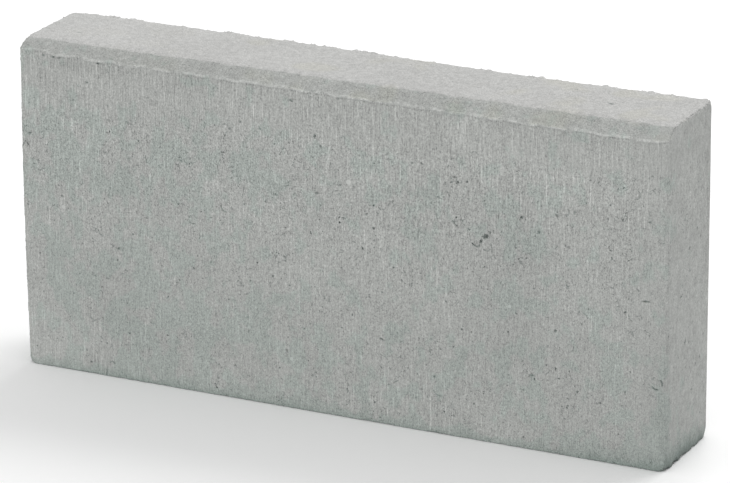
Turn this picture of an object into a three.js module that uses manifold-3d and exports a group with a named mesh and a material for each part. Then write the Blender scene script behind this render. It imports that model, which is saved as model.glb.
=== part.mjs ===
// Concrete kerb stone of the small 50 x 8 x 25 cm format, one block with no pieces of its own. As
// made, its height is a few millimetres under the nominal 25 cm.
// X runs along the kerb line, -Y is the road face and +Z is up. The origin is the middle of the bed.
// Such a stone is cast standing up. The mould box gives the plan outline with its rounded upright
// corners, and the tamper head that closes the box presses the flat top and the one chamfer, along
// the top of the road face. The block is what the two have in common with the rounded end view.
// All lengths are in millimetres.
import * as THREE from "three";
import { mergeVertices } from "three/addons/utils/BufferGeometryUtils.js";
import Module from "manifold-3d";

// Overall size.
const LENGTH = 500;
const THICKNESS = 80;
const HEIGHT = 245;

// The chamfer, measured back over the top and down the road face.
const CHAMFER_BACK = 12;
const CHAMFER_DOWN = 8.5;

// Edge radii: the four upright corners, the rim of the bed, the rim of the top, and the two long
// edges of the chamfer, where the tamper head's own shape leaves them crisper below than above.
const UPRIGHT_RADIUS = 4.5;
const BED_RADIUS = 1;
const TOP_RADIUS = 1.5;
const CHAMFER_TOP_RADIUS = 3;
const CHAMFER_FOOT_RADIUS = 1.2;

// Each rounding is drawn with this many facets per two, and the profiles are run this far past the
// block so that they cut right through one another.
const ARC_DIVISIONS = 4;
const OVERRUN = 10;

const CONCRETE_GREY = "#a4a7a2";
const CONCRETE_ROUGHNESS = 0.95;

const ALONG = new THREE.Vector3(1, 0, 0);
const ACROSS = new THREE.Vector3(0, 1, 0);
const UP = new THREE.Vector3(0, 0, 1);

const wasm = await Module();
wasm.setup();

// A closed outline through convex corners, each given as [x, y, radius] and rounded by the arc that
// is tangent to its two sides. The corners run anticlockwise.
function roundedOutline(corners) {
  const outline = new THREE.Shape();
  corners.forEach(([x, y, radius], index) => {
    const corner = new THREE.Vector2(x, y);
    const [beforeX, beforeY] = corners[(index + corners.length - 1) % corners.length];
    const [afterX, afterY] = corners[(index + 1) % corners.length];
    const back = new THREE.Vector2(beforeX, beforeY).sub(corner).normalize();
    const ahead = new THREE.Vector2(afterX, afterY).sub(corner).normalize();
    const halfAngle = Math.acos(back.dot(ahead)) / 2;
    const setback = radius / Math.tan(halfAngle);
    const inward = back.clone().add(ahead).setLength(radius / Math.sin(halfAngle));
    const centre = corner.clone().add(inward);
    const start = corner.clone().addScaledVector(back, setback).sub(centre);
    const end = corner.clone().addScaledVector(ahead, setback).sub(centre);
    outline.absarc(centre.x, centre.y, radius, start.angle(), end.angle(), false);
  });
  outline.closePath();
  return outline;
}

// The solid swept by an outline whose own x and y lie along two of the block's directions, centred
// on the origin along the third and longer than the block there.
function profileSolid(outline, outlineX, outlineY, span) {
  const depth = span + 2 * OVERRUN;
  const options = { depth, bevelEnabled: false, curveSegments: ARC_DIVISIONS };
  const geometry = new THREE.ExtrudeGeometry(outline, options);
  geometry.translate(0, 0, -depth / 2);
  const sweep = new THREE.Vector3().crossVectors(outlineX, outlineY);
  geometry.applyMatrix4(new THREE.Matrix4().makeBasis(outlineX, outlineY, sweep));
  geometry.deleteAttribute("normal");
  geometry.deleteAttribute("uv");
  const closed = mergeVertices(geometry);
  return new wasm.Manifold(new wasm.Mesh({
    numProp: 3,
    vertProperties: closed.getAttribute("position").array,
    triVerts: new Uint32Array(closed.getIndex().array),
  }));
}

// Cross-section: a plain rectangle with the chamfer cut off its top front corner.
const sectionOutline = roundedOutline([
  [-THICKNESS / 2, 0, BED_RADIUS],
  [THICKNESS / 2, 0, BED_RADIUS],
  [THICKNESS / 2, HEIGHT, TOP_RADIUS],
  [-THICKNESS / 2 + CHAMFER_BACK, HEIGHT, CHAMFER_TOP_RADIUS],
  [-THICKNESS / 2, HEIGHT - CHAMFER_DOWN, CHAMFER_FOOT_RADIUS],
]);

// Plan: the inside of the mould box.
const planOutline = roundedOutline([
  [-LENGTH / 2, -THICKNESS / 2, UPRIGHT_RADIUS],
  [LENGTH / 2, -THICKNESS / 2, UPRIGHT_RADIUS],
  [LENGTH / 2, THICKNESS / 2, UPRIGHT_RADIUS],
  [-LENGTH / 2, THICKNESS / 2, UPRIGHT_RADIUS],
]);

// Front view: it rounds the short edges of the bed and the top like the long ones.
const frontOutline = roundedOutline([
  [-LENGTH / 2, 0, BED_RADIUS],
  [LENGTH / 2, 0, BED_RADIUS],
  [LENGTH / 2, HEIGHT, TOP_RADIUS],
  [-LENGTH / 2, HEIGHT, TOP_RADIUS],
]);

const section = profileSolid(sectionOutline, ACROSS, UP, LENGTH);
const plan = profileSolid(planOutline, ALONG, ACROSS, 2 * HEIGHT);
const front = profileSolid(frontOutline, ALONG, UP, THICKNESS);
const block = section.intersect(plan).intersect(front).getMesh();

const blockGeometry = new THREE.BufferGeometry();
blockGeometry.setAttribute("position", new THREE.BufferAttribute(block.vertProperties, block.numProp));
blockGeometry.setIndex(new THREE.BufferAttribute(block.triVerts, 1));
blockGeometry.computeVertexNormals();

const concrete = new THREE.MeshStandardMaterial({
  color: CONCRETE_GREY,
  roughness: CONCRETE_ROUGHNESS,
  metalness: 0,
  flatShading: true,
});

const kerbStone = new THREE.Mesh(blockGeometry, concrete);
kerbStone.name = "kerb_stone";

const kerb = new THREE.Group();
kerb.add(kerbStone);

export default kerb;
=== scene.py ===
import math

import bpy
import numpy as np
from mathutils import Matrix, Vector


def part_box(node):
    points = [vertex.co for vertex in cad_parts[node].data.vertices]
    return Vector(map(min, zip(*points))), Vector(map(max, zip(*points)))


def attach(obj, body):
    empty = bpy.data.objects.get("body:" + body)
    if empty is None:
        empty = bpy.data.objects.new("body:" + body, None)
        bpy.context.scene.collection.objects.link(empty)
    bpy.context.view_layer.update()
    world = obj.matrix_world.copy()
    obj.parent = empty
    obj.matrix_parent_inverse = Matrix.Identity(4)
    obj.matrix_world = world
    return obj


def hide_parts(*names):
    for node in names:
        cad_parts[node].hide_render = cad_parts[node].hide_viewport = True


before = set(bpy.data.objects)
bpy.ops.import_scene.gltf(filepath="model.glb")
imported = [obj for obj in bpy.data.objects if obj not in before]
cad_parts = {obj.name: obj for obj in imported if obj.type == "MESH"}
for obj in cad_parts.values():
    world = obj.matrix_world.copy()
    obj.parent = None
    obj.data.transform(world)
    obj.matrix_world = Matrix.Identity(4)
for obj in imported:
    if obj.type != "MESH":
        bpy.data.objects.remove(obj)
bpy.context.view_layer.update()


# ---- Camera -----------------------------------------------------------------------------------
# A long lens, a little above the stone and in front of its right end, so that the road face, the
# chamfer, the top and one end all show.

camera_place = Vector((1.324, -2.7546, 1.1737))
camera_right = Vector((0.90185, 0.432049, 0.000242))
camera_up = Vector((-0.141318, 0.294453, 0.94516))
camera_data = bpy.data.cameras.new("camera")
camera_data.sensor_width = 36.0
camera_data.lens = 226.15
camera_data.clip_start = 0.1
camera_data.clip_end = 40.0
camera = bpy.data.objects.new("camera", camera_data)
camera_back = camera_right.cross(camera_up)
camera_turn = Matrix((camera_right, camera_up, camera_back)).transposed().to_4x4()
camera.matrix_world = Matrix.Translation(camera_place) @ camera_turn
bpy.context.scene.collection.objects.link(camera)
bpy.context.scene.camera = camera


# ---- Studio light -----------------------------------------------------------------------------
# White surroundings give most of the light. A broad lamp high behind the stone lights its top, and
# a second one in front lifts the road face.

bpy.context.scene.view_settings.view_transform = "Standard"


def add_node(tree, kind, inputs=None, **settings):
    """A node with its settings made, and its inputs either wired or set."""
    node = tree.nodes.new(kind)
    for name, value in settings.items():
        setattr(node, name, value)
    for socket, value in (inputs or {}).items():
        if isinstance(value, bpy.types.NodeSocket):
            tree.links.new(value, node.inputs[socket])
        else:
            node.inputs[socket].default_value = value
    return node


def calc(tree, operation, first, second=0.0, third=0.0):
    """The result of one sum, such as ADD or MULTIPLY, on sockets or plain numbers."""
    inputs = {0: first, 1: second, 2: third}
    return add_node(tree, "ShaderNodeMath", inputs, operation=operation).outputs[0]


surroundings_strength = 0.75
world = bpy.data.worlds.new("studio")
world.use_nodes = True
world.node_tree.nodes.clear()
seen = add_node(world.node_tree, "ShaderNodeLightPath").outputs
seen_directly = calc(world.node_tree, "MAXIMUM", seen["Is Camera Ray"], seen["Is Glossy Ray"])
seen_directly = calc(world.node_tree, "MAXIMUM", seen_directly, seen["Is Transmission Ray"])
backdrop = add_node(world.node_tree, "ShaderNodeBackground", {"Color": (1, 1, 1, 1), "Strength": 1.0})
soft_light = add_node(world.node_tree, "ShaderNodeBackground",
                      {"Color": (1, 1, 1, 1), "Strength": surroundings_strength})
world_mix = add_node(world.node_tree, "ShaderNodeMixShader",
                     {0: seen_directly, 1: soft_light.outputs[0], 2: backdrop.outputs[0]})
add_node(world.node_tree, "ShaderNodeOutputWorld", {"Surface": world_mix.outputs[0]})
bpy.context.scene.world = world


def add_softbox(name, place, aim, width, height, watts):
    """A rectangular lamp at a place, turned to face a point."""
    lamp = bpy.data.lights.new(name, "AREA")
    lamp.shape = "RECTANGLE"
    lamp.size = width
    lamp.size_y = height
    lamp.energy = watts
    box = bpy.data.objects.new(name, lamp)
    facing = (Vector(aim) - Vector(place)).to_track_quat("-Z", "Y")
    box.matrix_world = Matrix.Translation(place) @ facing.to_matrix().to_4x4()
    bpy.context.scene.collection.objects.link(box)


stone_middle = (0.0, 0.0, 0.15)
add_softbox("softbox_high_back", place=(0.3, 1.3, 2.0), aim=stone_middle, width=1.6, height=1.0, watts=23.0)
add_softbox("softbox_front", place=(0.1, -2.6, 0.8), aim=stone_middle, width=1.2, height=1.0, watts=12.0)


# ---- Floor ------------------------------------------------------------------------------------
# A plain white sheet that the stone stands on and throws its soft shadow over. It lies a hair below
# the bed, so that the two faces do not share one plane.


def blended(tree, factor, first, second, **settings):
    """A colour that goes from the first to the second as the factor goes from 0 to 1."""
    first_colour, second_colour, blended_colour = 6, 7, 2
    inputs = {"Factor": factor, first_colour: first, second_colour: second}
    return add_node(tree, "ShaderNodeMix", inputs, data_type="RGBA", **settings).outputs[blended_colour]


floor_reach, floor_level = 9.0, -0.0001
white_as_lit, white_as_seen = (0.88, 0.88, 0.88, 1), (1.0, 1.0, 1.0, 1)
floor_corners = [(x * floor_reach, y * floor_reach, floor_level)
                 for x, y in ((-1, -1), (1, -1), (1, 1), (-1, 1))]
floor_mesh = bpy.data.meshes.new("floor")
floor_mesh.from_pydata(floor_corners, [], [(0, 1, 2, 3)])
floor = bpy.data.objects.new("floor", floor_mesh)
bpy.context.scene.collection.objects.link(floor)
floor_paint = bpy.data.materials.new("white_floor")
floor_paint.use_nodes = True
floor_paint.node_tree.nodes.clear()
floor_seen = add_node(floor_paint.node_tree, "ShaderNodeLightPath").outputs["Is Camera Ray"]
floor_white = blended(floor_paint.node_tree, floor_seen, white_as_lit, white_as_seen)
floor_diffuse = add_node(floor_paint.node_tree, "ShaderNodeBsdfDiffuse", {"Color": floor_white})
add_node(floor_paint.node_tree, "ShaderNodeOutputMaterial", {"Surface": floor_diffuse.outputs[0]})
floor_mesh.materials.append(floor_paint)


# ---- The stone: the sound casting -------------------------------------------------------------
# One block of dry-cast concrete. The mould box gives the four walls and their rounded upright
# corners, and the tamper head presses the top and the chamfer. Sizes here are in millimetres.

lowest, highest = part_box("kerb_stone")
length, thickness, height = (round(1000 * side, 2) for side in highest - lowest)
chamfer_back, chamfer_down = 12.0, 8.5
upright_radius, bed_radius, top_radius = 4.5, 1.0, 1.5
chamfer_top_radius, chamfer_foot_radius = 3.0, 1.2
left_end_extra_radius = 2.6
chamfer_slope = math.hypot(chamfer_back, chamfer_down)
chamfer_out = np.array((0.0, -chamfer_down, chamfer_back)) / chamfer_slope
chamfer_foot = np.array((0.0, -thickness / 2, height - chamfer_down))


def rounded_meeting(first, second, radius):
    """Distance outside the meeting of two surfaces, whose edge is rounded to a radius."""
    outside = np.hypot(np.maximum(first + radius, 0), np.maximum(second + radius, 0)) - radius
    return outside + np.minimum(np.maximum(first, second) + radius, 0)


def hump(value, middle, spread):
    """1 where a value is at the middle, falling softly to 0 on both sides."""
    return np.exp(-((value - middle) / spread) ** 2)


def foot_drop(x):
    """How far the chamfer's foot runs below its straight line, along the stone."""
    long_wave = 0.55 * np.sin(x / 150 - 0.25)
    rise_at_left, rise_at_right = 1.6 * hump(x, -240, 13), 1.3 * hump(x, 250, 9)
    wave_depth = 0.32 + 0.4 / (1 + np.exp((x + 140) / 20))
    short_wave = wave_depth * np.cos((x + 218) / 4.46)
    ripple = 0.2 * np.sin(x / 2.1)
    return long_wave - rise_at_left - rise_at_right + short_wave + ripple


# The tips of the corners where three faces meet are knocked off: the side along X and along Y,
# 1 for the top or 0 for the bed, how deep the tip is lost, and how softly.
corner_wear = [
    (-1, -1, 0, 2.0, 3.0),
    (1, -1, 0, 1.7, 2.4),
    (1, 1, 0, 3.0, 3.6),
    (-1, 1, 0, 2.0, 3.5),
    (-1, 1, 1, 1.9, 3.0),
    (1, 1, 1, 2.0, 3.0),
]


def outside_casting(points):
    """How far each point lies outside the sound block."""
    x, y, z = points.T
    walls = rounded_meeting(np.abs(y) - thickness / 2, np.abs(x) - length / 2, upright_radius)
    top_edge_radius = top_radius + left_end_extra_radius * np.clip((-x - length / 2 + 15) / 10, 0, 1)
    topped = rounded_meeting(walls, z - height, top_edge_radius)
    high_up = np.clip((z - height + chamfer_down) / chamfer_down, 0, 1)
    above_chamfer = (points - chamfer_foot) @ chamfer_out + foot_drop(x) * chamfer_out[2] * (1 - high_up)
    edge_radius = chamfer_foot_radius + high_up * (chamfer_top_radius - chamfer_foot_radius)
    chamfered = rounded_meeting(topped, above_chamfer, edge_radius)
    block = rounded_meeting(chamfered, -z, bed_radius)
    for side_x, side_y, at_top, worn, soft in corner_wear:
        way_out = (side_x * x - length / 2 + side_y * y - thickness / 2) / math.sqrt(3)
        upward = (z - height) if at_top else -z
        block = rounded_meeting(block, way_out + upward / math.sqrt(3) + worn, soft)
    return block


def outward(points):
    """Unit direction straight out of the block at each point."""
    step = 0.02
    slope = np.empty_like(points)
    for axis in range(3):
        shift = np.zeros(3)
        shift[axis] = step
        slope[:, axis] = outside_casting(points + shift) - outside_casting(points - shift)
    return slope / np.maximum(np.linalg.norm(slope, axis=1, keepdims=True), 1e-9)


# Pits listed one by one: first the two places on the face (along and up on the road face and
# the end, along and across on the top), then the radius, the depth, how much longer than wide, and
# the angle of the long way from level. A pit round a stone grain gives that grain's radius last: it
# runs along the ring, and its angle says on which side. The others have 0 there.
front_pits = [
    (115.5, 150.7, 1.7, 1.7, 1.5, 24, 0), (112.0, 146.8, 1.1, 1.2, 2.2, 72, 0),
    (108.6, 146.3, 0.8, 0.8, 4.0, 262, 3.6), (116.0, 144.6, 0.7, 0.45, 3.6, 285, 3.9),
    (119.0, 154.0, 0.9, 0.9, 1.8, 60, 0), (104.0, 147.0, 0.7, 0.5, 2.0, -60, 0),
    (234.5, 122.0, 0.9, 0.8, 4.0, 8, 0), (150.5, 55.0, 1.0, 0.8, 2.2, 4, 0),
    (152.5, 52.5, 0.8, 0.7, 1.8, -70, 0), (142.5, 168.5, 1.1, 1.2, 1.7, 34, 0),
    (155.3, 159.7, 1.1, 1.0, 1.5, 38, 0), (176.5, 124.0, 0.7, 0.7, 4.0, -60, 0),
    (168.0, 90.5, 0.9, 0.9, 1.4, 75, 0), (36.6, 63.2, 0.9, 1.0, 2.6, -30, 0),
    (-14.4, 205.0, 1.1, 0.9, 1.7, 80, 0), (-32.5, 228.5, 0.9, 0.9, 2.2, -20, 0),
    (90.0, 186.5, 0.8, 0.8, 2.2, 30, 0), (-13.0, 163.5, 0.9, 0.8, 1.8, 20, 0),
    (181.5, 177.5, 0.8, 0.7, 2.4, 72, 0), (168.5, 151.0, 0.8, 0.6, 2.2, 54, 0),
    (-45.0, 158.0, 0.8, 0.6, 2.6, -20, 0), (236.5, 179.0, 0.8, 0.8, 2.0, 8, 0),
    (190.0, 185.5, 0.9, 0.6, 1.8, 30, 0), (-57.0, 204.5, 0.9, 0.7, 1.6, -40, 0),
    (-171.5, 99.0, 0.8, 0.9, 1.6, 40, 0), (47.0, 33.5, 0.8, 0.6, 3.0, 33, 0),
    (-162.0, 194.5, 0.7, 0.6, 3.0, -42, 0), (77.0, 121.5, 1.0, 0.5, 1.3, 40, 0),
    (91.5, 123.0, 1.0, 0.5, 1.2, 0, 0), (-180.0, 9.5, 0.8, 0.7, 2.6, 90, 2.2),
    (243.0, 64.0, 0.7, 0.8, 2.6, 12, 4.1), (243.0, 64.0, 0.7, 0.8, 3.0, 250, 4.3),
    (243.5, 64.5, 0.6, 0.5, 2.2, 140, 4.2), (-229.4, 235.6, 0.8, 0.8, 1.4, -8, 0),
    (-221.8, 235.4, 0.8, 0.8, 1.6, -8, 0), (-216.8, 235.0, 0.6, 0.5, 1.5, -30, 0),
    (-185.2, 235.4, 0.9, 0.8, 1.7, 4, 0), (-191.4, 234.6, 0.6, 0.6, 1.4, 85, 0),
    (4.0, 234.5, 0.7, 0.6, 1.5, 10, 0), (23.8, 234.8, 0.6, 0.5, 1.6, -10, 0),
    (41.3, 235.0, 0.7, 0.6, 1.3, 20, 0), (173.0, 178.0, 0.6, 0.5, 5.0, -20, 4.6),
    (79.8, 174.2, 0.7, 0.6, 2.0, -10, 0), (84.2, 174.8, 0.6, 0.6, 1.8, 20, 0),
    (55.6, 26.0, 0.9, 0.6, 1.3, 60, 0), (62.4, 24.2, 0.7, 0.7, 1.3, 0, 0),
    (80.3, 24.6, 0.7, 0.6, 3.2, -12, 0), (213.2, 199.0, 0.6, 0.7, 2.6, 88, 0),
    (217.4, 200.4, 0.6, 0.6, 1.6, 70, 0), (185.4, 106.6, 0.8, 0.7, 1.5, 70, 0),
    (90.2, 183.4, 0.7, 0.6, 1.2, 0, 0),
]
end_pits = [
    (-5.2, 84.5, 1.2, 1.0, 1.7, 70, 0), (-14.6, 119.5, 1.2, 1.0, 1.3, 20, 0),
    (6.5, 94.5, 0.9, 0.4, 2.6, 75, 0), (-0.3, 150.5, 1.1, 0.9, 1.4, 60, 0),
    (-26.0, 147.5, 0.8, 0.5, 1.5, 90, 0), (-12.0, 10.0, 0.9, 0.6, 1.4, 70, 0),
    (13.7, 161.0, 1.0, 0.8, 1.6, 85, 0), (21.8, 64.5, 0.9, 0.7, 1.5, 70, 0),
    (-4.2, 65.2, 0.8, 0.6, 1.4, 80, 0), (19.8, 152.8, 0.8, 0.6, 1.6, 70, 0),
    (-12.2, 165.6, 0.8, 0.6, 1.4, 60, 0), (-33.5, 0.4, 2.4, 1.0, 1.6, 0, 0),
    (-21.0, 0.4, 2.4, 1.1, 2.6, 0, 0),
]
top_pits = [
    (-218.0, -6.5, 1.3, 0.6, 2.0, 6, 0), (190.0, 2.0, 1.5, 0.9, 2.2, -14, 0),
    (155.5, 23.5, 1.0, 0.5, 1.8, -20, 0),
]

# Every pit as its middle, the way out of its face, and the five numbers of its shape.
pits = []
for x, z, *shape in front_pits:
    pits.append(((x, -thickness / 2, z), (0, -1, 0), *shape))
for y, z, *shape in end_pits:
    pits.append(((length / 2, y, z), (1, 0, 0), *shape))
for x, y, *shape in top_pits:
    pits.append(((x, y, height), (0, 0, 1), *shape))

# The rest of the pits fall at random, as many on each face as its own finish shows.
pit_draw = np.random.default_rng(11)
block_size = (length, thickness, height)
face_distance = np.array((length / 2, thickness / 2, height))
pits_on_face = {(0, -1, 0): 26, (0, 1, 0): 44, (1, 0, 0): 2, (-1, 0, 0): 8, (0, 0, 1): 1}
for out, count in pits_on_face.items():
    out = np.array(out, float)
    for _ in range(count):
        place = pit_draw.uniform((-0.47, -0.38, 0.05), (0.47, 0.38, 0.93)) * block_size
        place = place * (1 - np.abs(out)) + out * face_distance
        radius = pit_draw.uniform(0.6, 0.95)
        pits.append((tuple(place), tuple(out), radius, 0.75 * radius, pit_draw.uniform(1.0, 2.2),
                     pit_draw.uniform(0, 180), 0))

# Where fines shrank away from a larger stone, a thin arc opened along one side of it.
arc_radius = 0.6
arcs_on_face = {(0, -1, 0): 12, (0, 1, 0): 6}
for out, count in arcs_on_face.items():
    for _ in range(count):
        arc_x, arc_z = pit_draw.uniform(-235, 235), pit_draw.uniform(25, 215)
        pits.append(((arc_x, out[1] * thickness / 2, arc_z), out, arc_radius, pit_draw.uniform(0.35, 0.55),
                     pit_draw.uniform(3, 6), pit_draw.uniform(0, 360), pit_draw.uniform(2.6, 4.4)))


# No pit reaches farther from its middle than the window. Distance along the way out of a face
# counts for only a share, so that a bowl keeps its rim where the face curves away.
pit_window = 12.0
depth_share = 0.35


def pit_reach(points, pit):
    """Distance of each point from a pit's middle line, in pit radii."""
    middle, out, radius, _, stretch, angle, ring = pit
    out = np.array(out, float)
    level = np.array((0.0, 1.0, 0.0)) if abs(out[0]) > 0.5 else np.array((1.0, 0.0, 0.0))
    rising = np.cross(out, level)
    rising = rising * np.sign(rising.sum())
    turn = math.radians(angle)
    long_way = math.cos(turn) * level + math.sin(turn) * rising
    short_way = -math.sin(turn) * level + math.cos(turn) * rising
    offset = points - np.array(middle)
    along, across = offset @ long_way, offset @ short_way
    if ring:
        past_end = np.maximum(np.abs(np.arctan2(across, along)) - stretch * radius / ring, 0) * ring
        beside = np.hypot(np.hypot(along, across) - ring, past_end)
    else:
        beside = np.hypot(along / stretch, across)
    return np.hypot(beside, depth_share * (offset @ out)) / radius


def leaned(points):
    """Points of the plain box, with its top front edge lowered to the foot of the chamfer."""
    x, y, z = points.T
    still_below = height - 30.0
    down_chamfer = np.clip(1 - (y + thickness / 2) / chamfer_back, 0, 1)
    share_up = np.clip((z - still_below) / (height - still_below), 0, 1)
    lowered = z - share_up * down_chamfer * (chamfer_down + foot_drop(x))
    return np.column_stack((x, y, lowered))


# The facets are small where the surface turns or is broken, and larger in the middle of a face.
# A side is halved where it is longer than the wanted length by more than the excess allows.
facet_on_front, facet_on_back, facet_on_top, facet_on_bed, facet_on_end = 3.2, 7.0, 3.0, 9.0, 3.4
facet_on_chamfer, facet_at_crest, facet_at_edge, facet_at_foot = 1.5, 1.0, 0.9, 0.6
facet_growth, facet_excess = 0.65, 1.42
facet_in_seen_pit, facet_in_hidden_pit = 0.42, 0.6


def wanted_facet(points):
    """The length of facet that each point of the plain box needs, in millimetres."""
    x, y, z = points.T
    gap = np.stack((length / 2 - np.abs(x), thickness / 2 - np.abs(y), np.minimum(z, height - z)))
    face = gap.argmin(axis=0)
    front, back = (face == 1) & (y < 0), (face == 1) & (y > 0)
    top, bed = (face == 2) & (z > height / 2), (face == 2) & (z < height / 2)
    size = np.select([front, back, top, bed],
                     [facet_on_front, facet_on_back, facet_on_top, facet_on_bed], facet_on_end)
    gap.sort(axis=0)
    edge_gap = gap[1].copy()
    to_end = length / 2 - np.abs(x)
    edge_gap[front] = np.minimum(to_end, z)[front]
    edge_gap[top] = np.minimum(to_end, thickness / 2 - y)[top]
    coarser = np.where(back | bed, 0.5, 0.0)
    by_edge = facet_at_edge + coarser + facet_growth * np.maximum(edge_gap - 1.8, 0)
    size = np.minimum(size, by_edge)
    to_foot = np.where(front, height - z, y + thickness / 2)
    by_foot = facet_at_foot + facet_growth * np.maximum(to_foot - 1.9, 0)
    size = np.where(front | top, np.minimum(size, by_foot), size)
    to_crest = np.abs(y + thickness / 2 - chamfer_back)
    by_crest = facet_at_crest + facet_growth * np.maximum(to_crest - 1.5, 0)
    size = np.where(top, np.minimum(size, by_crest), size)
    on_chamfer = top & (y < chamfer_back - thickness / 2)
    size = np.where(on_chamfer, np.minimum(size, facet_on_chamfer), size)
    points = leaned(points)
    for pit in pits:
        middle, out, radius, *_ = pit
        near = np.flatnonzero(np.abs(x - middle[0]) < pit_window)
        near = near[np.abs(points[near] - np.array(middle)).max(axis=1) < pit_window]
        if len(near):
            from_pit = pit_reach(points[near], pit) * radius
            hidden = out[0] < 0 or out[1] > 0
            facet_in_pit = (facet_in_hidden_pit if hidden else facet_in_seen_pit) * radius
            by_pit = facet_in_pit + 0.5 * np.maximum(from_pit - 1.3 * radius, 0)
            size[near] = np.minimum(size[near], by_pit)
    return size


def box_facets(cells_x, cells_y, cells_z):
    """Corner points and triangles of a plain box the size of the stone, in even cells."""
    grid_x = np.linspace(-length / 2, length / 2, cells_x + 1)
    grid_y = np.linspace(-thickness / 2, thickness / 2, cells_y + 1)
    grid_z = np.linspace(0, height, cells_z + 1)
    numbered = {}
    triangles = []

    def point(i, j, k):
        return numbered.setdefault((i, j, k), len(numbered))

    def face(cells_u, cells_v, at, swap):
        for u in range(cells_u):
            for v in range(cells_v):
                a, b, c, d = (point(*at(*corner))
                              for corner in ((u, v), (u + 1, v), (u + 1, v + 1), (u, v + 1)))
                halves = [(a, b, c), (a, c, d)] if (u + v) % 2 else [(a, b, d), (b, c, d)]
                triangles.extend(t[::-1] if swap else t for t in halves)

    face(cells_x, cells_z, lambda u, v: (u, 0, v), False)
    face(cells_x, cells_z, lambda u, v: (u, cells_y, v), True)
    face(cells_y, cells_z, lambda u, v: (0, u, v), True)
    face(cells_y, cells_z, lambda u, v: (cells_x, u, v), False)
    face(cells_x, cells_y, lambda u, v: (u, v, 0), True)
    face(cells_x, cells_y, lambda u, v: (u, v, cells_z), False)
    places = np.array([(grid_x[i], grid_y[j], grid_z[k]) for i, j, k in numbered])
    return places, np.array(triangles)


def refined(points, triangles):
    """Halve the longest side of every triangle that is too large, until each is small enough."""
    while True:
        sides = np.stack((triangles, np.roll(triangles, -1, axis=1)), axis=2)
        sides = np.sort(sides.reshape(-1, 2), axis=1)
        edges, edge_of = np.unique(sides, axis=0, return_inverse=True)
        edge_of = edge_of.reshape(-1, 3)
        middles = points[edges].mean(axis=1)
        lengths = np.linalg.norm(points[edges[:, 0]] - points[edges[:, 1]], axis=1)
        longest = lengths[edge_of].argmax(axis=1)
        row = np.arange(len(triangles))
        long_edge = edge_of[row, longest]
        split = np.zeros(len(edges), bool)
        split[long_edge[lengths[long_edge] > facet_excess * wanted_facet(middles[long_edge])]] = True
        if not split.any():
            return points, triangles
        while True:
            drawn_in = long_edge[split[edge_of].any(axis=1)]
            if split[drawn_in].all():
                break
            split[drawn_in] = True
        no_point = -1
        new_point = np.full(len(edges), no_point)
        new_point[split] = len(points) + np.arange(split.sum())
        points = np.vstack((points, middles[split]))
        turned = (longest[:, None] + np.arange(3)) % 3
        a, b, c = triangles[row[:, None], turned].T
        on_ab, on_bc, on_ca = new_point[edge_of[row[:, None], turned]].T
        whole = on_ab < 0
        parts = [triangles[whole]]
        plain, cut = ~whole & (on_ca < 0), ~whole & (on_ca >= 0)
        parts.append(np.stack((a, on_ab, c), 1)[plain])
        parts.append(np.stack((a, on_ab, on_ca), 1)[cut])
        parts.append(np.stack((on_ab, c, on_ca), 1)[cut])
        plain, cut = ~whole & (on_bc < 0), ~whole & (on_bc >= 0)
        parts.append(np.stack((on_ab, b, c), 1)[plain])
        parts.append(np.stack((on_ab, b, on_bc), 1)[cut])
        parts.append(np.stack((on_ab, on_bc, c), 1)[cut])
        triangles = np.vstack(parts)


box_points, facets = refined(*box_facets(cells_x=40, cells_y=6, cells_z=20))
skin_points = leaned(box_points)
for _ in range(4):
    skin_points -= outside_casting(skin_points)[:, None] * outward(skin_points)
skin_out = outward(skin_points)

# Each pit is pressed in along its face, deepest in the middle, with a ragged rim.
rim_reach, rim_raggedness = 1.25, 0.34
pit_depth = np.zeros(len(skin_points))
ragged = np.sin(skin_points @ (2.9, 2.3, 1.7)) * np.sin(skin_points @ (-1.9, 2.6, 3.1) + 1.0)
for pit in pits:
    middle, _, _, deepest, *_ = pit
    near = np.abs(skin_points - np.array(middle)).max(axis=1) < pit_window
    reach = pit_reach(skin_points[near], pit) * (1 + rim_raggedness * ragged[near])
    bowl = np.clip(rim_reach - reach, 0, 1)
    pit_depth[near] = np.maximum(pit_depth[near], deepest * (bowl * bowl * (3 - 2 * bowl)))
skin_points -= skin_out * pit_depth[:, None]

stone_mesh = bpy.data.meshes.new("kerb_stone_cast")
stone_mesh.from_pydata((skin_points / 1000).tolist(), [], facets.tolist())
stone_mesh.polygons.foreach_set("use_smooth", [True] * len(facets))
stone = bpy.data.objects.new("kerb_stone_cast", stone_mesh)
bpy.context.scene.collection.objects.link(stone)


def keep_on_skin(name, values):
    """Store one number for each point of the stone's skin."""
    stored = stone_mesh.attributes.new(name, "FLOAT", "POINT")
    stored.data.foreach_set("value", np.asarray(values, np.float32))


keep_on_skin("pit", pit_depth)

# How easily each arris crumbles: most along the foot of the right end, least along the seen one.
weak_at_right_foot, weak_at_foot, weak_at_seen_arris = 1.9, 1.1, 0.35
weak_at_ends, weak_elsewhere, arris_width = 2.2, 1.0, 3.0
x, y, z = box_points.T
to_end = length / 2 - np.abs(x)
edge_gaps = np.sort(np.stack((to_end, thickness / 2 - np.abs(y), np.minimum(z, height - z))), axis=0)
front_top = (thickness / 2 + y < 20) & (height - z < 15) & (to_end > 6)
seen_arris = (y < 4 - thickness / 2) & (x > 0)
foot_weakness = np.where(x > length / 2 - 3, weak_at_right_foot, weak_at_foot)
upright_weakness = np.where(seen_arris, weak_at_seen_arris,
                            np.where(to_end < 4, weak_at_ends, weak_elsewhere))
arris_weakness = np.where(z < 4, foot_weakness, upright_weakness)
by_arris = np.clip(1 - edge_gaps[1] / arris_width, 0, 1)
keep_on_skin("near_arris", np.where(front_top, 0, arris_weakness * by_arris))

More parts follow.
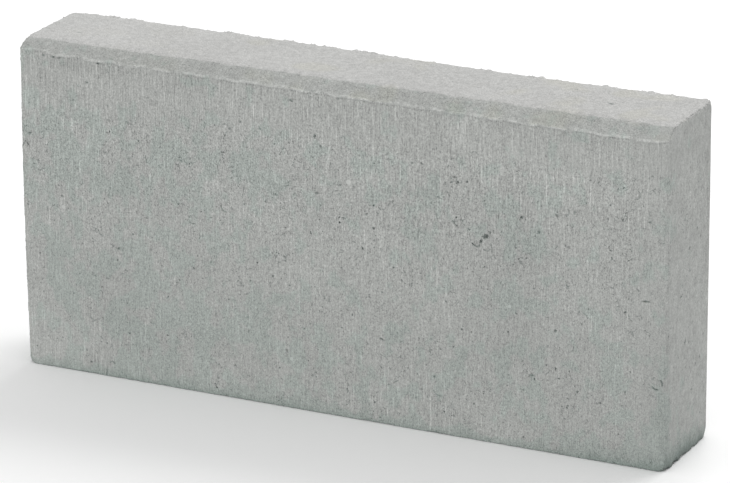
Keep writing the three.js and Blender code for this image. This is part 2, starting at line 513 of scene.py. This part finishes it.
# The fin stands along the top's back edge and ends, and is mostly gone from the left end.
fin_width, fin_lost_at_left = 1.7, 0.65
to_rim = np.hypot(np.minimum(to_end, thickness / 2 - y), height - z)
behind_chamfer = np.clip((y + thickness / 2 - chamfer_back) / 4, 0, 1)
at_left_end = np.clip((-x - length / 2 + 8) / 4, 0, 1)
keep_on_skin("top_rim", hump(to_rim, 0, fin_width) * behind_chamfer * (1 - fin_lost_at_left * at_left_end))

# The lip hangs along the chamfer's foot, on the road face only.
far_from_foot = 9.0
above_foot = skin_points[:, 2] - chamfer_foot[2] + foot_drop(x)
on_front = skin_points[:, 1] < 1.6 - thickness / 2
keep_on_skin("above_foot", np.where(on_front, above_foot, far_from_foot))

# Damp marks, where the concrete dried last and stayed darker and greener, mixed with painted light
# and shade: the dark marks along the foot are partly painted shade, and the paler marks low down and
# at the left edge are painted light that lifts the shade near the floor. Each has its place on the
# road face, its half width and half height, and how much darker it is; less than nothing is paler.
# A place past the end of the face is round the corner, on the end.
damp_and_painted_light_marks = [
    (-166, 50, 16, 22, 0.042), (-140, 30, 60, 14, 0.020), (-214, 150, 13, 60, 0.030),
    (-247, 60, 10, 80, -0.052), (-240, 14, 40, 30, -0.080), (-80, 168, 70, 14, 0.024),
    (98, 180, 42, 14, 0.034), (143, 150, 18, 30, 0.050), (137, 100, 23, 36, 0.054),
    (90, 58, 42, 14, 0.028), (205, 80, 30, 50, 0.024), (232, 180, 10, 40, 0.032),
    (247, 40, 11, 36, 0.060), (225, 0, 45, 14, 0.118), (285, 0, 32, 15, 0.175),
    (-110, 238, 170, 7, 0.024), (0, 100, 60, 45, -0.020), (30, 172, 55, 13, 0.028),
    (132, 165, 26, 20, 0.026), (84, 214, 14, 12, -0.026), (305, 110, 26, 80, -0.028),
    (250, 14, 14, 16, 0.022), (-205, 178, 22, 40, 0.014), (-60, 185, 50, 22, 0.010),
    (-18, 22, 24, 14, -0.016), (168, 38, 18, 16, -0.018), (130, 8, 30, 12, -0.016),
    (152, 188, 14, 13, 0.026), (78, 90, 14, 14, 0.014), (248, 45, 4, 75, 0.050),
    (248, 195, 4, 40, 0.035), (278, 120, 18, 45, -0.024), (296, 30, 18, 22, 0.016),
    (-170, 190, 60, 40, 0.013), (-246, 185, 14, 50, -0.018), (-85, 18, 50, 13, -0.050),
    (-155, 216, 60, 9, -0.045), (108, 216, 38, 9, -0.042), (-160, 150, 24, 18, 0.034),
    (90, 238, 26, 6, 0.045), (190, 231, 60, 3, 0.034), (-60, 241, 24, 4, -0.032),
    (140, 18, 26, 12, -0.026), (-212, 231, 30, 3.5, 0.10), (-110, 231, 30, 3.5, 0.07),
    (-160, 241, 24, 4, 0.03),
]


def fading(value, middle, spread):
    """1 well below the middle and 0 well above it, with a soft step between."""
    return 1 / (1 + np.exp((value - middle) / spread))


x, y, z = skin_points.T
round_corner = x + np.sign(x) * (y + thickness / 2)
# Damp staining and painted light and shade from the marks, summed for each point.
damp_and_painted_shade = np.zeros(len(x))
for mark_x, mark_z, half_width, half_height, darker in damp_and_painted_light_marks:
    along, up = (round_corner - mark_x) / half_width, (z - mark_z) / half_height
    damp_and_painted_shade += darker * np.exp(-along ** 2 - up ** 2)
not_behind = np.clip((thickness / 2 - 2 - y) / 4, 0, 1)
damp_and_painted_shade *= not_behind

# The stone grows a little darker to the right. On the top the middle is darker, and the left end
# and the strip along the back edge are paler.
darker_right, darker_far_right = 0.008, 0.012
darker_mid_top, paler_left_top, paler_back_edge = 0.022, 0.030, 0.055
damp_and_painted_shade += darker_right * np.clip(x / 100, 0, 1) + darker_far_right * np.clip((x - 150) / 60, 0, 1)
on_top = np.clip(z - height + 1.5, 0, 1)
damp_and_painted_shade += on_top * (darker_mid_top * hump(x, 40, 90) - paler_left_top * hump(x, -215, 60)
                  - paler_back_edge * np.exp((y - thickness / 2) / 4.5))

# The foot has a dark band of uneven height, darkest on the right end: painted shade where the foot
# meets the floor, partly damp staining. Over it a paler strip is painted light that lifts the
# floor's shade off the lower faces.
darker_band, darker_band_on_end, darker_foot_of_end, paler_strip = 0.13, 0.12, 0.14, 0.066
band_height = 5.5 * (1 + 0.28 * np.sin(round_corner / 7.3) + 0.22 * np.sin(round_corner / 3.1 + 1))
bed_band = hump(z, 0, band_height)
not_on_back = np.clip((x - length / 2 + 10) / 6, 0, 1)
on_right_end = np.clip(round_corner - length / 2, 0, 1) * not_on_back
damp_and_painted_shade += darker_foot_of_end * on_right_end * hump(z, 0, 11)
band_shade = (darker_band + darker_band_on_end * on_right_end) * bed_band
# Damp staining stored together with the painted shade at the foot and the painted light low down.
keep_on_skin("damp_and_painted_shade", damp_and_painted_shade + band_shade - paler_strip * np.exp(-z / 17))

# The cement is greenest where it is damp and where the foot has its painted shade, at the left and
# low down, and grey under the chamfer.
green_everywhere, green_at_left, green_low_down = 0.06, 0.36, 0.30
left_share = fading(x, 10, 45)
low_share = fading(z, 75, 25)
dry_top = fading(z, 205, 9)
low_green = green_low_down * low_share * (0.7 + 0.3 * left_share)
greenness = (green_everywhere + green_at_left * left_share + low_green) * dry_top
left_strip = hump(round_corner, -245, 14) * np.clip((z - 110) / 40, 0, 1)
far_on_end = np.clip((round_corner - length / 2 - 35) / 20, 0, 1) * not_on_back
keep_on_skin("greenness", greenness + 6 * damp_and_painted_shade + 1.3 * bed_band - 0.3 * far_on_end + 0.4 * left_strip)


# ---- The stone: what casting and handling do to it ---------------------------------------------
# Green concrete leaves the mould slightly out of true, with crumbled arrises, fins where fines
# squeezed past the tamper head, and a broken lip along the chamfer's foot. Places and sizes are in
# metres here, and lumps and the lip's thickness are in millimetres.

cast_sizes = {
    "Lean": 0.00105,
    "Sag": 0.0015,
    "Tuck": 0.0012,
    "Bow": 0.0002,
    "Unevenness": 0.00012,
    "Arris crumble": 0.0008,
    "Fin height": 0.0015,
    "Lip height": 0.0008,
    "Lip thickness": 0.62,
}
weathering = bpy.data.node_groups.new("cast_surface", "GeometryNodeTree")
weathering.interface.new_socket("Geometry", in_out="INPUT", socket_type="NodeSocketGeometry")
for size_name in cast_sizes:
    weathering.interface.new_socket(size_name, in_out="INPUT", socket_type="NodeSocketFloat")
weathering.interface.new_socket("Concrete", in_out="INPUT", socket_type="NodeSocketMaterial")
weathering.interface.new_socket("Geometry", in_out="OUTPUT", socket_type="NodeSocketGeometry")
given = add_node(weathering, "NodeGroupInput").outputs
place_now = add_node(weathering, "GeometryNodeInputPosition").outputs[0]
way_out = add_node(weathering, "GeometryNodeInputNormal").outputs[0]


def vector_calc(tree, operation, first, second):
    """The result of one sum on places or colours; SCALE takes a plain number second."""
    second_socket = "Scale" if operation == "SCALE" else 1
    return add_node(tree, "ShaderNodeVectorMath", {0: first, second_socket: second},
                    operation=operation).outputs[0]


def on_skin(name):
    """The number stored for each point of the skin under a name."""
    return add_node(weathering, "GeometryNodeInputNamedAttribute", {"Name": name},
                    data_type="FLOAT").outputs[0]


def lumps(grain_mm, seed, detail=2.0, stretch=(1, 1, 1)):
    """Smooth lumps of a given size, from about -1 to 1, the same each time for one seed."""
    per_metre = tuple(1000 / (grain_mm * factor) for factor in stretch)
    moved = vector_calc(weathering, "MULTIPLY", place_now, per_metre)
    moved = vector_calc(weathering, "ADD", moved, (seed * 7.3, seed * 3.1, seed * 5.7))
    noise = add_node(weathering, "ShaderNodeTexNoise",
                     {"Vector": moved, "Scale": 1.0, "Detail": detail, "Roughness": 0.55}).outputs[0]
    return calc(weathering, "MULTIPLY_ADD", noise, 4.0, -2.0)


def above(value, level, full):
    """0 below a level, rising to 1 at the full value."""
    return add_node(weathering, "ShaderNodeMapRange", {"Value": value, "From Min": level, "From Max": full},
                    interpolation_type="SMOOTHSTEP").outputs[0]


def times(*factors):
    """The product of several numbers."""
    product = factors[0]
    for factor in factors[1:]:
        product = calc(weathering, "MULTIPLY", product, factor)
    return product


def total(*parts):
    """The sum of several numbers."""
    amount = parts[0]
    for part in parts[1:]:
        amount = calc(weathering, "ADD", amount, part)
    return amount


def broken(strength, least=0.25):
    """A strength from 0 to 1 that never falls below the least."""
    return calc(weathering, "MULTIPLY_ADD", strength, 1 - least, least)


# The walls bow and waver a little, but the bed stays flat. The arrises crumble in lumps.
now = add_node(weathering, "ShaderNodeSeparateXYZ", {0: place_now}).outputs
off_bed = above(now["Z"], 0.0, 0.004)
bow = times(lumps(260, seed=1, detail=0.0), given["Bow"], off_bed)
uneven = times(lumps(22, seed=2, stretch=(1, 1, 1.6)), given["Unevenness"], off_bed)
arris = on_skin("near_arris")
crumble = total(times(lumps(7, seed=3), 0.55), times(lumps(2.2, seed=4, detail=1.0), 0.45))
bite = calc(weathering, "MAXIMUM", total(crumble, 0.15), -0.08)
crumbled = times(bite, arris, arris, given["Arris crumble"], -1.0)

# The fin stands in stretches of different height, with a ragged edge.
rim = on_skin("top_rim")
fin_places = total(lumps(4.4, seed=5, detail=1.0), times(lumps(12, seed=11, detail=0.0), 0.7),
                   times(lumps(34, seed=6, detail=0.0), 0.5))
fin_stretches = total(above(fin_places, 0.0, 1.3), times(lumps(13, seed=12, detail=1.0), 0.22))
fin_edge = calc(weathering, "MULTIPLY_ADD", lumps(1.7, seed=7, detail=0.0), 0.4, 0.8)
fin = times(fin_stretches, fin_edge, rim, given["Fin height"])

# The lip is a thin ridge along the chamfer's foot, with a groove under it. Both are broken in places.
foot_gap = total(on_skin("above_foot"), times(lumps(12, seed=8), 0.35))
foot_gap = calc(weathering, "DIVIDE", foot_gap, given["Lip thickness"])
lip_shape = calc(weathering, "EXPONENT", times(foot_gap, foot_gap, -1.0))
lip = times(lip_shape, broken(above(lumps(6, seed=9), -0.5, 0.3)))
under_gap = total(foot_gap, 2.0)
under_shape = calc(weathering, "EXPONENT", times(under_gap, under_gap, -1.1))
under = times(under_shape, broken(above(lumps(5, seed=10), -0.2, 0.8)))
height_now = total(bow, uneven, crumbled, fin, times(lip, given["Lip height"]),
                   times(under, given["Lip height"], -0.5))
offset = vector_calc(weathering, "SCALE", way_out, height_now)

# The whole block also leans along its length, sags at the back of the top and is tucked in at the left.
share_up = calc(weathering, "DIVIDE", now["Z"], height / 1000)
lean = times(calc(weathering, "MULTIPLY_ADD", share_up, -2.0, 1.0), given["Lean"])
foot_and_head = total(above(now["Z"], 0.095, 0.0), times(above(now["Z"], 0.15, height / 1000), 0.8))
tuck = times(foot_and_head, above(now["X"], 0.0, -0.24), given["Tuck"])
sag_middle, sag_reach = 0.11, 0.13
from_sag = calc(weathering, "DIVIDE", calc(weathering, "SUBTRACT", now["X"], sag_middle), sag_reach)
sag = times(calc(weathering, "EXPONENT", times(from_sag, from_sag, -1.0)), share_up,
            above(now["Y"], -thickness / 2000, thickness / 2000), given["Sag"], -1.0)
out_of_true = add_node(weathering, "ShaderNodeCombineXYZ", {"X": total(lean, tuck), "Z": sag}).outputs[0]
offset = vector_calc(weathering, "ADD", offset, out_of_true)
moved_skin = add_node(weathering, "GeometryNodeSetPosition",
                      {"Geometry": given["Geometry"], "Offset": offset})
for stored_name, stored_value in (("lip", lip), ("under_lip", under)):
    moved_skin = add_node(weathering, "GeometryNodeStoreNamedAttribute",
                          {"Geometry": moved_skin.outputs[0], "Name": stored_name, "Value": stored_value},
                          data_type="FLOAT", domain="POINT")
realized = add_node(weathering, "GeometryNodeRealizeInstances", {"Geometry": moved_skin.outputs[0]})
surfaced = add_node(weathering, "GeometryNodeSetMaterial",
                    {"Geometry": realized.outputs[0], "Material": given["Concrete"]})
add_node(weathering, "NodeGroupOutput", {0: surfaced.outputs[0]})


# ---- The stone: its concrete ------------------------------------------------------------------
# Grey cement with fine sand. The walls carry upright drag marks, sand grain, pinholes darkened with
# painted shade and soft cool and warm clouds; the tamped top has a paler, closer skin, partly painted
# top light; the foot is a little darker, partly damp and partly painted shade.

concrete = bpy.data.materials.new("dry_cast_concrete")
concrete.use_nodes = True
mix = concrete.node_tree
mix.nodes.clear()
here = add_node(mix, "ShaderNodeTexCoord").outputs["Object"]


def stored(name):
    """A number kept on the skin, read by the material."""
    return add_node(mix, "ShaderNodeAttribute", attribute_name=name).outputs["Fac"]


def scaled_place(stretch, turn=(0, 0, 0)):
    """Object coordinates in millimetres, drawn out by a factor along each axis."""
    per_metre = tuple(1000 / factor for factor in stretch)
    return add_node(mix, "ShaderNodeMapping",
                    {"Vector": here, "Scale": per_metre, "Rotation": turn}).outputs[0]


def cloud(stretch, detail=2.0, roughness=0.5):
    """Soft noise, 0 to 1 and mostly near the middle, with features of the given millimetres."""
    return add_node(mix, "ShaderNodeTexNoise", {"Vector": scaled_place(stretch), "Scale": 1.0,
                                                "Detail": detail, "Roughness": roughness}).outputs[0]


def between(value, low, high, to_low=0.0, to_high=1.0):
    """A value's way from low to high, as a smooth step between two results."""
    return add_node(mix, "ShaderNodeMapRange", {"Value": value, "From Min": low, "From Max": high,
                                                "To Min": to_low, "To Max": to_high},
                    interpolation_type="SMOOTHSTEP").outputs[0]


def product(*factors):
    """The product of several material numbers."""
    result = factors[0]
    for factor in factors[1:]:
        result = calc(mix, "MULTIPLY", result, factor)
    return result


def added(*parts):
    """The sum of several material numbers."""
    result = parts[0]
    for part in parts[1:]:
        result = calc(mix, "ADD", result, part)
    return result


def outside(place):
    """1 away from a place and 0 on it."""
    return calc(mix, "SUBTRACT", 1.0, place)


def changed(place, change, start=1.0):
    """A factor that is the start away from a place, and has changed by so much on it."""
    return calc(mix, "MULTIPLY_ADD", place, change, start)


def from_middle(noise):
    """Noise moved down, so that it lies about nought."""
    return calc(mix, "SUBTRACT", noise, 0.5)


def grain(stretch, contrast, detail=2.0, roughness=0.5):
    """Paler and darker grain about nought, of the given millimetres and contrast."""
    return product(from_middle(cloud(stretch, detail, roughness)), contrast)


def holes(spacing, hole_share, radius, ragged, turn=(0, 0, 0)):
    """Small open holes: 1 in the middle of a hole, 0 outside, in a share of the cells."""
    place = vector_calc(mix, "ADD", scaled_place((spacing,) * 3, turn), ragged)
    cells = add_node(mix, "ShaderNodeTexVoronoi", {"Vector": place, "Scale": 1.0}, feature="F1")
    chance = add_node(mix, "ShaderNodeSeparateColor", {0: cells.outputs["Color"]}).outputs
    is_open = calc(mix, "LESS_THAN", chance[0], hole_share)
    size = calc(mix, "MULTIPLY_ADD", chance[1], radius / spacing, 0.5 * radius / spacing)
    depth = outside(calc(mix, "DIVIDE", cells.outputs["Distance"], size))
    return product(between(depth, 0.0, 0.6), is_open)


def raggedness(grain_mm, amount):
    """A small shift of place at random that makes an outline uneven."""
    shift = add_node(mix, "ShaderNodeTexNoise", {"Vector": scaled_place((grain_mm,) * 3), "Scale": 1.0,
                                                 "Detail": 1.0}).outputs["Color"]
    shift = vector_calc(mix, "SUBTRACT", shift, (0.5, 0.5, 0.5))
    return vector_calc(mix, "SCALE", shift, amount)


# Where things are on the stone: 1 in the place and 0 away from it, with the bounds in metres.
place_split = add_node(mix, "ShaderNodeSeparateXYZ", {0: here}).outputs
place_x, place_y, place_z = (place_split[axis] for axis in "XYZ")
facing = add_node(mix, "ShaderNodeNewGeometry").outputs["Normal"]
out_split = add_node(mix, "ShaderNodeSeparateXYZ", {0: facing}).outputs
mottle_noise = add_node(mix, "ShaderNodeTexNoise", {"Vector": scaled_place((9.5, 9.5, 12)), "Scale": 1.0,
                                                    "Detail": 3.0, "Roughness": 0.6}).outputs
mottle = mottle_noise[0]
greenness, damp_and_painted_shade = stored("greenness"), stored("damp_and_painted_shade")
crest_line = calc(mix, "MULTIPLY_ADD", mottle, 0.005, place_y)
crest_at, crest_blur = (chamfer_back - thickness / 2 + 2.2) / 1000, 0.0006
tamped = product(between(out_split["Z"], 0.5, 0.75),
                 between(crest_line, crest_at - crest_blur, crest_at + crest_blur))
wall = outside(tamped)
on_chamfer = product(between(out_split["Z"], 0.35, 0.6), wall)
on_end = between(calc(mix, "ABSOLUTE", out_split["X"]), 0.55, 0.85)
height_up = between(place_z, 0.07, 0.20)
to_left = between(place_x, -0.08, -0.16)
by_arris = product(between(place_x, 0.220, 0.236), between(on_end, 1.0, 0.0), 0.24)
top_band_line = calc(mix, "MULTIPLY_ADD", place_x, -0.03, place_z)
near_top = product(between(top_band_line, 0.199, 0.209), outside(on_chamfer))
mid_face = product(between(place_x, -0.08, 0.02), between(place_x, 0.15, 0.10))

# The sand stands out most high on the middle of the road face, and least on the ends.
lively = added(1.0, product(mid_face, 0.07))
calm_here = calc(mix, "SUBTRACT", lively, added(by_arris, product(to_left, 0.08)))
rough_here = product(outside(product(on_end, 0.26)), outside(product(on_chamfer, 0.17)),
                     changed(height_up, 0.235, start=0.765), calm_here, wall)
sand = grain((0.95, 0.95, 1.6), contrast=1.14, detail=1.5, roughness=0.6)
sand_fine = grain((0.55, 0.55, 0.75), contrast=0.88, detail=0.0)
coarse = grain((2.2, 2.2, 2.6), contrast=0.60, roughness=0.6)

# Upright drag marks, pale and dark, where the mould was pulled up past the wet concrete. In the
# band under the chamfer they take the place of some of the sand.
drag_line = grain((0.85, 0.85, 16.0), contrast=0.46, detail=1.0)
wide = cloud((45, 45, 55))
drag_pale = product(between(cloud((0.75, 0.75, 15.0), detail=0.0), 0.64, 0.76),
                    between(wide, 0.35, 0.65, to_low=0.12, to_high=0.28))
drag_dark = product(between(cloud((0.8, 0.8, 8.0), detail=0.0), 0.34, 0.24), -0.13)
drags = product(added(drag_line, drag_pale, drag_dark), outside(product(on_chamfer, 0.7)),
                changed(to_left, 0.25))
sand_left = changed(near_top, -0.24)
drags_left = changed(product(near_top, between(place_x, 0.14, 0.02)), 0.25)
all_sand = product(added(sand, sand_fine, coarse), sand_left)
wall_relief = product(added(all_sand, product(drags, drags_left)), rough_here)

# Soft blotches on the ends, the top and the chamfer, and the closer grain of the tamped skin.
blotch = cloud((4.5, 4.5, 6.0), roughness=0.6)
blotchy = product(from_middle(blotch),
                  added(product(on_end, 0.56), product(tamped, 0.44), product(on_chamfer, 0.26)))
skin_close = grain((0.84, 1.40, 1.15), contrast=1.01, roughness=0.6)
top_relief = product(added(skin_close, product(sand_fine, 0.5), product(coarse, 0.4)), tamped)

# Pinholes of two sizes and broken rings round hidden grains. They are most where the concrete is
# porous, and few on the chamfer and in the band under it.
porous = between(cloud((15, 15, 20)), 0.40, 0.64)
uneven_edge = raggedness(grain_mm=1.4, amount=1.0)
specks_small = holes(spacing=3.0, hole_share=0.37, radius=0.5,
                     ragged=vector_calc(mix, "SCALE", uneven_edge, 0.40))
specks_large = holes(spacing=5.0, hole_share=0.42, radius=0.85,
                     ragged=vector_calc(mix, "SCALE", uneven_edge, 0.30), turn=(0.5, 0.3, 0.2))
ring_cells = vector_calc(mix, "ADD", scaled_place((6.5, 6.5, 6.5)), mottle_noise["Color"])
ring_gap = add_node(mix, "ShaderNodeTexVoronoi", {"Vector": ring_cells, "Scale": 1.0},
                    feature="DISTANCE_TO_EDGE").outputs["Distance"]
grain_rings = product(between(ring_gap, 0.058, 0.015), between(blotch, 0.515, 0.61),
                      changed(porous, 0.8, start=0.2))
open_here = product(outside(product(on_end, 0.25)), outside(product(on_chamfer, 0.52)),
                    changed(porous, 0.65, start=0.35), calm_here, changed(near_top, -0.6))
open_on_top = product(tamped, between(mottle, 0.60, 0.66))
large_open = product(specks_large, added(product(open_here, wall), open_on_top))
rings_here = product(grain_rings, changed(height_up, 0.34, start=0.50))
small_open = product(added(specks_small, rings_here), open_here, wall)
pinholes = calc(mix, "MINIMUM", added(small_open, large_open), 1.0)

# A few pale stone grains lie bare in the road face, with no sand over them. Each has its place
# along and up the face, its radius in millimetres and how much paler it is.
pale_grains = [
    (11.2, 175.2, 1.9, 0.37),
    (-215.8, 124.0, 1.5, 0.33),
    (-33.6, 37.4, 1.4, 0.31),
    (134.0, 102.8, 1.3, 0.32),
]
grain_shapes, grain_shades = [], []
for grain_x, grain_z, radius, paler in pale_grains:
    grain_middle = (grain_x / 1000, -thickness / 2000, grain_z / 1000)
    grain_gap = add_node(mix, "ShaderNodeVectorMath", {0: here, 1: grain_middle},
                         operation="DISTANCE").outputs["Value"]
    grain_shape = between(grain_gap, 0.0012 * radius, 0.0008 * radius)
    grain_shapes.append(grain_shape)
    grain_shades.append(product(grain_shape, paler))
bare_grain = added(*grain_shapes)
wall_relief = product(wall_relief, changed(bare_grain, -0.85))
pinholes = product(pinholes, outside(bare_grain))

# How much paler or darker all of this makes the concrete, as a share of its plain colour.
tone = added(1.0, *grain_shades, wall_relief, top_relief, blotchy,
             product(specks_small, tamped, 0.04),
             # Pinholes and pits painted darker by depth: painted shade in the hollows.
             product(pinholes, -0.64),
             product(between(stored("pit"), 0.0, 1.1), -0.50),
             product(from_middle(wide), 0.14),
             product(from_middle(mottle), added(product(wall, 0.10), product(on_chamfer, 0.24))),
             # Lip painted paler: partly cement-rich paste, partly a painted highlight on its ridge.
             product(stored("lip"), 0.40),
             product(stored("top_rim"), 0.025),
             # Groove under the lip painted darker: a painted shadow under the lip, with some dirt.
             product(stored("under_lip"), -0.27))
darker_up_chamfer = between(place_z, 0.2375, 0.2435, to_low=0.008, to_high=0.035)
darker_to_left = between(place_x, -0.16, 0.16, to_low=0.006, to_high=-0.013)
chamfer_shade = product(added(darker_up_chamfer, darker_to_left), on_chamfer)
# Darker with the damp marks and the painted shade at the foot, paler with the painted light low down.
tone = product(tone, outside(added(damp_and_painted_shade, chamfer_shade)))

# Damp cement is greener and dry cement greyer. The chamfer never turns fully green. The tamped top's
# paler grey is partly its closer skin and partly painted light, for the top being lit more strongly.
green, grey, tamped_grey_and_painted_top_light = (0.3695, 0.3995, 0.3790, 1), (0.4005, 0.408, 0.3943, 1), (0.474, 0.474, 0.464, 1)
patchy = cloud((15, 15, 19), roughness=0.6)
patches = added(patchy, changed(greenness, -0.30, start=0.15))
drier = between(patches, 0.43, 0.55, to_low=0.04, to_high=0.96)
drier = calc(mix, "SUBTRACT", drier, between(greenness, 0.9, 2.6))
too_green = calc(mix, "MAXIMUM", calc(mix, "SUBTRACT", 0.35, drier), 0.0)
drier = added(drier, product(too_green, on_chamfer))
cement = blended(mix, drier, green, grey, clamp_factor=False)
skin_tint = blended(mix, tamped, cement, tamped_grey_and_painted_top_light)

# A warm buff tinge comes and goes on the top and the chamfer, and the painted shade in every hollow
# is a little cooler.
buff_tinge, hollow_tinge = (1.0, 0.995, 0.960, 1), (0.925, 1.0, 0.985, 1)
buff_cloud = cloud((32, 32, 32), detail=1.0)
buff_patch = product(between(place_x, 0.09, 0.13), between(place_x, 0.185, 0.155), 0.09)
buff_on_top = product(between(added(buff_cloud, buff_patch), 0.54, 0.68), tamped)
buff_on_chamfer = product(between(buff_cloud, 0.50, 0.64), on_chamfer)
buff = product(added(buff_on_top, buff_on_chamfer), changed(to_left, -0.8))
tinted = blended(mix, buff, skin_tint, buff_tinge, blend_type="MULTIPLY")
hollow = calc(mix, "MINIMUM", added(pinholes, between(stored("pit"), 0.0, 0.8)), 1.0)
shaded = blended(mix, hollow, tinted, hollow_tinge, blend_type="MULTIPLY")
toned = vector_calc(mix, "SCALE", shaded, tone)

wall_grain = product(added(sand, sand_fine, drag_line), wall, 0.5)
grain_height = added(wall_grain, product(skin_close, tamped, 0.4))
dents = calc(mix, "SUBTRACT", grain_height, large_open)
rough_bump = add_node(mix, "ShaderNodeBump", {"Height": dents, "Strength": 0.6, "Distance": 0.0004})
surface = add_node(mix, "ShaderNodeBsdfPrincipled",
                   {"Base Color": toned, "Roughness": 0.92, "Specular IOR Level": 0.25,
                    "Normal": rough_bump.outputs[0]})
add_node(mix, "ShaderNodeOutputMaterial", {"Surface": surface.outputs[0]})

casting = stone.modifiers.new("cast_surface", "NODES")
casting.node_group = weathering
cast_inputs = {**cast_sizes, "Concrete": concrete}
for socket in weathering.interface.items_tree:
    if socket.in_out == "INPUT" and socket.name in cast_inputs:
        casting[socket.identifier] = cast_inputs[socket.name]
settled = stone.evaluated_get(bpy.context.evaluated_depsgraph_get())
stone.data = bpy.data.meshes.new_from_object(settled)
stone.modifiers.clear()
stone.data.name = "kerb_stone_cast"

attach(stone, "root")
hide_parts("kerb_stone")
